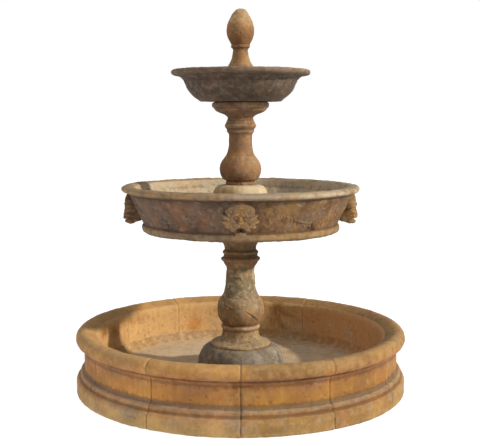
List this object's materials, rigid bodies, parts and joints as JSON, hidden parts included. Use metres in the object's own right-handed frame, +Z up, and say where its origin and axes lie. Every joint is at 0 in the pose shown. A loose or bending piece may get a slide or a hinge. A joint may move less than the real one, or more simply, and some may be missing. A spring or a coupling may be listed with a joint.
{
  "type": "tiered water fountain",
  "caption": "Free-standing stone garden fountain: a segmented round pool, two stacked bowls on baluster columns with lion-mask spouts, an egg finial and a recirculating pump in its pedestal.",
  "frame": {"origin": "on the vertical axis of the fountain, at ground level under the pool", "axes": "+Z up along the axis, -Y towards the front, where one wall joint and one lion mask face, +X to the right seen from the front"},
  "size_m": [1.6256, 1.6256, 1.859],
  "materials": {
    "ochre_stone": "weathered honey-ochre cast stone with lilac and cream patches, matt and gritty",
    "mortar": "rough orange-brown lime mortar",
    "grey_stone": "damp-stained blue-grey cast stone",
    "olive_stone": "olive-grey cast stone with cream and ochre streaks",
    "bowl_stone": "mauve-grey to warm ochre cast stone, pale worn rim",
    "cream_stone": "pale cream cast stone, chalky",
    "brown_stone": "warm brown cast stone with tan wear",
    "dark_stone": "dark brown-grey cast stone with pale lip",
    "finial_stone": "brown-ochre cast stone with cream highlights",
    "copper": "copper tube, dulled",
    "brass": "satin brass, dulled",
    "stainless_steel": "brushed",
    "black_rubber": "matt moulded rubber",
    "clear_hose": "milky flexible vinyl",
    "pump_plastic": "moulded, fine texture",
    "dial_plastic": "moulded blue",
    "ceramic_shaft": "polished",
    "shim_plastic": "moulded off-white"
  },
  "bodies": {
    "fountain": {"pool_wall_01": "ochre_stone", "pool_wall_02": "ochre_stone", "pool_wall_03": "ochre_stone", "pool_wall_04": "ochre_stone", "pool_wall_05": "ochre_stone", "pool_wall_06": "ochre_stone", "pool_wall_07": "ochre_stone", "pool_wall_08": "ochre_stone", "pool_wall_09": "ochre_stone", "pool_wall_10": "ochre_stone", "pool_wall_11": "ochre_stone", "pool_wall_12": "ochre_stone", "pool_floor": "ochre_stone", "joint_mortar": "mortar", "pedestal_plinth": "grey_stone", "lower_column": "olive_stone", "mid_bowl": "bowl_stone", "column_seat": "cream_stone", "upper_column": "brown_stone", "top_bowl": "dark_stone", "spout_tube_front": "copper", "spout_tube_right": "copper", "spout_tube_back": "copper", "spout_tube_left": "copper", "mid_riser": "copper", "top_riser": "copper", "drain_fitting": "brass", "hose_clamp": "stainless_steel", "mid_bowl_seal": "black_rubber", "top_bowl_seal": "black_rubber", "mid_bowl_stopper": "black_rubber", "top_bowl_stopper": "black_rubber", "volute_seal": "black_rubber", "cable_gland": "black_rubber", "drain_gasket": "black_rubber", "pump_foot_1": "black_rubber", "pump_foot_2": "black_rubber", "pump_foot_3": "black_rubber", "pump_foot_4": "black_rubber", "lower_hose": "clear_hose", "upper_hose": "clear_hose", "pump_body": "pump_plastic", "pump_volute": "pump_plastic", "intake_strainer": "pump_plastic", "hose_barb": "pump_plastic", "impeller_shaft": "ceramic_shaft", "levelling_shim_1": "shim_plastic", "levelling_shim_2": "shim_plastic", "levelling_shim_3": "shim_plastic"},
    "finial": {"finial": "finial_stone", "finial_nozzle": "brass"},
    "drain_plug": {"drain_plug": "black_rubber"},
    "impeller": {"impeller": "dial_plastic"},
    "flow_dial": {"flow_dial": "dial_plastic"}
  },
  "joints": [
    {"name": "finial_lift", "type": "slide", "parent": "fountain", "child": "finial", "axis": [0, 0, 1], "range_m": [0, 0.32]},
    {"name": "drain_plug_lift", "type": "slide", "parent": "fountain", "child": "drain_plug", "axis": [0, 0, 1], "range_m": [0, 0.06]},
    {"name": "impeller_spin", "type": "hinge", "parent": "fountain", "child": "impeller", "pos_m": [0, 0.03, 0.128], "axis": [0, 1, 0], "continuous": true},
    {"name": "flow_dial_turn", "type": "hinge", "parent": "fountain", "child": "flow_dial", "pos_m": [0, -0.06, 0.128], "axis": [0, 1, 0], "range_deg": [0, 90]}
  ]
}
